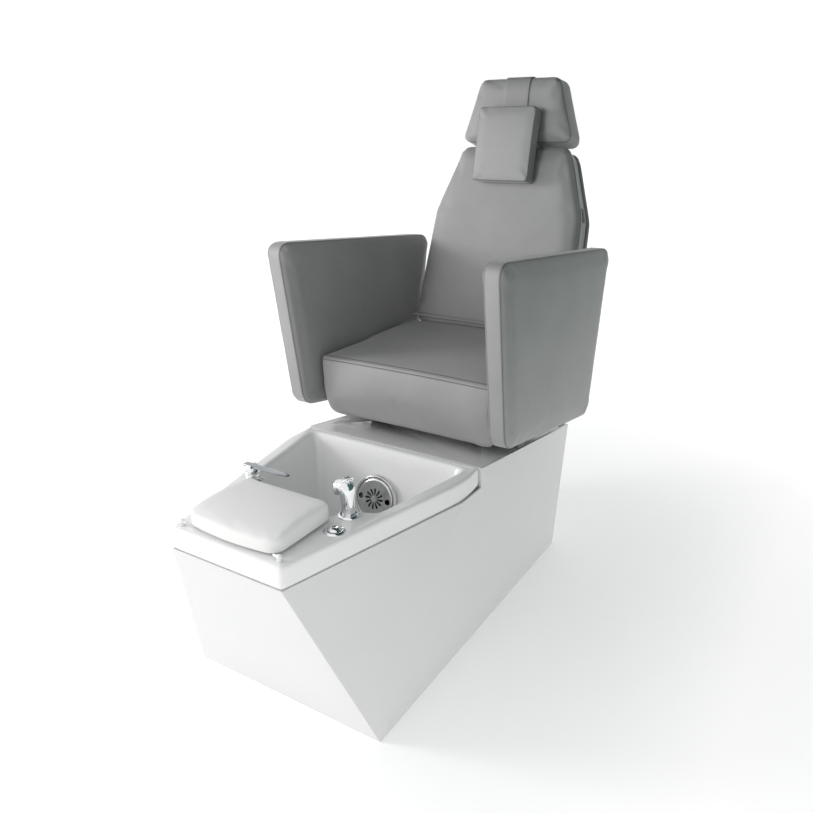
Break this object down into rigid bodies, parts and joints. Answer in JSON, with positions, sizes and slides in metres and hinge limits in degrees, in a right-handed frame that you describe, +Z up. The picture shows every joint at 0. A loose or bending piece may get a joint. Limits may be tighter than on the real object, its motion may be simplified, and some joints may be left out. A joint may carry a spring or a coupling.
{
  "type": "pedicure spa chair",
  "caption": "Upholstered pedicure armchair on a faceted base with a water-jet foot basin, tilting footrest, sliding seat, reclining back and adjustable headrest.",
  "frame": {"origin": "on the floor, under the middle of the base's footprint", "axes": "+X towards the sitter's left, -Y towards the basin end, +Z up"},
  "size_m": [0.676, 1.434, 1.4058],
  "materials": {
    "cabinet_white": "gloss",
    "basin_white": "gloss",
    "upholstery_grey": "satin",
    "footrest_white": "satin",
    "chrome": "polished",
    "jet_grey": "satin",
    "steel_painted": "satin",
    "steel_bright": "satin",
    "plywood": "matte",
    "seal_grey": "matte",
    "plastic_black": "matte",
    "plastic_grey": "matte",
    "fitting_brass": "satin",
    "tag_black": "matte"
  },
  "bodies": {
    "base": {"cabinet_shell": "cabinet_white", "platform_deck": "cabinet_white", "rear_service_panel": "cabinet_white", "panel_screws": "steel_bright", "chassis_rails": "steel_painted", "chassis_crossbars": "steel_painted", "basin_cradle": "steel_painted", "pedestal_posts": "steel_painted", "basin_tub": "basin_white", "rim_gasket": "seal_grey", "jet_flange": "jet_grey", "jet_volute": "plastic_black", "jet_motor": "plastic_black", "drain_strainer": "chrome", "waste_pipe": "plastic_grey", "waste_spigot": "plastic_grey", "water_inlets": "fitting_brass", "power_inlet": "plastic_black", "handset_socket": "chrome", "switch_bezel": "chrome", "mixer_body": "chrome", "footrest_lugs": "plastic_grey", "slide_channels": "steel_bright"},
    "jet_cap": {"jet_cap": "jet_grey"},
    "impeller": {"jet_impeller": "plastic_black", "motor_shaft": "steel_bright"},
    "drain_plug": {"drain_plug": "chrome"},
    "handset": {"handset_shell": "chrome", "spray_face": "plastic_grey"},
    "handset_knob": {"diverter_knob": "chrome"},
    "button": {"switch_button": "chrome"},
    "mixer_head": {"mixer_head": "chrome"},
    "mixer_lever": {"mixer_lever": "chrome"},
    "footrest": {"footrest_pad": "footrest_white"},
    "seat": {"slide_tongues": "steel_bright", "seat_carriage": "steel_painted", "seat_cushion": "upholstery_grey", "seat_board": "plywood", "arm_left": "upholstery_grey", "arm_right": "upholstery_grey", "arm_core_left": "plywood", "arm_core_right": "plywood", "arm_brackets": "steel_painted", "recliner_plates": "steel_painted", "recliner_pins": "steel_bright"},
    "slide_lever": {"slide_lever": "steel_painted"},
    "recline_lever": {"recline_lever": "steel_painted"},
    "backrest": {"backrest_cushion": "upholstery_grey", "backrest_board": "plywood", "backrest_cover": "upholstery_grey", "back_welt": "upholstery_grey", "recliner_arms": "steel_painted", "headrest_sleeves": "steel_bright", "blank_tag": "tag_black"},
    "headrest": {"headrest_cushion": "upholstery_grey", "headrest_posts": "chrome", "headrest_strap": "upholstery_grey"},
    "neck_pillow": {"neck_pillow": "upholstery_grey"},
    "counterweight": {"pillow_counterweight": "upholstery_grey"}
  },
  "joints": [
    {"name": "seat_slide", "type": "slide", "parent": "base", "child": "seat", "axis": [0, -0.9907, 0.1357], "range_m": [-0.06, 0.1]},
    {"name": "backrest_recline", "type": "hinge", "parent": "seat", "child": "backrest", "pos_m": [0, 0.50025, 0.59989], "axis": [-1, 0, 0], "range_deg": [0, 35]},
    {"name": "headrest_lift", "type": "slide", "parent": "backrest", "child": "headrest", "axis": [0, 0.2756, 0.9613], "range_m": [0, 0.07]},
    {"name": "pillow_slide", "type": "slide", "parent": "headrest", "child": "neck_pillow", "axis": [0, 0.1994, 0.9799], "range_m": [-0.04, 0.03]},
    {"name": "counterweight_slide", "type": "slide", "parent": "headrest", "child": "counterweight", "axis": [0, 0.0628, 0.998], "range_m": [-0.03, 0.04]},
    {"name": "footrest_tilt", "type": "hinge", "parent": "base", "child": "footrest", "pos_m": [0, -0.627, 0.485], "axis": [1, 0, 0], "range_deg": [0, 60]},
    {"name": "mixer_turn", "type": "hinge", "parent": "base", "child": "mixer_head", "pos_m": [-0.158, -0.388, 0.5], "axis": [0, 0, 1], "range_deg": [-10, 60]},
    {"name": "mixer_lift", "type": "hinge", "parent": "mixer_head", "child": "mixer_lever", "pos_m": [-0.158, -0.388, 0.513], "axis": [0, -1, 0], "range_deg": [0, 20]},
    {"name": "handset_lift", "type": "slide", "parent": "base", "child": "handset", "axis": [0, 0, 1], "range_m": [0, 0.15]},
    {"name": "handset_knob_turn", "type": "hinge", "parent": "handset", "child": "handset_knob", "pos_m": [0.137, -0.41, 0.56], "axis": [0, 0, 1], "range_deg": [-60, 60]},
    {"name": "button_press", "type": "slide", "parent": "base", "child": "button", "axis": [0, 0, -1], "range_m": [0, 0.003], "stiffness_N_per_m": 900, "springref_m": -0.003},
    {"name": "jet_cap_twist", "type": "hinge", "parent": "base", "child": "jet_cap", "pos_m": [0, -0.10221, 0.348], "axis": [0, -0.9636, 0.2672], "range_deg": [0, 25]},
    {"name": "impeller_spin", "type": "hinge", "parent": "base", "child": "impeller", "pos_m": [0, -0.10221, 0.348], "axis": [0, -0.9636, 0.2672], "continuous": true},
    {"name": "drain_plug_lift", "type": "slide", "parent": "base", "child": "drain_plug", "axis": [0, 0, 1], "range_m": [0, 0.03]},
    {"name": "slide_lever_swing", "type": "hinge", "parent": "seat", "child": "slide_lever", "pos_m": [-0.215, 0.20285, 0.46266], "axis": [0, 0.1357, 0.9907], "range_deg": [0, 20], "stiffness_Nm_per_rad": 4},
    {"name": "recline_lever_swing", "type": "hinge", "parent": "seat", "child": "recline_lever", "pos_m": [-0.215, 0.33285, 0.44485], "axis": [0, 0.1357, 0.9907], "range_deg": [0, 20], "stiffness_Nm_per_rad": 4}
  ],
  "couplings": [
    {"joint": "counterweight_slide", "follows": "pillow_slide", "ratio": -1}
  ]
}
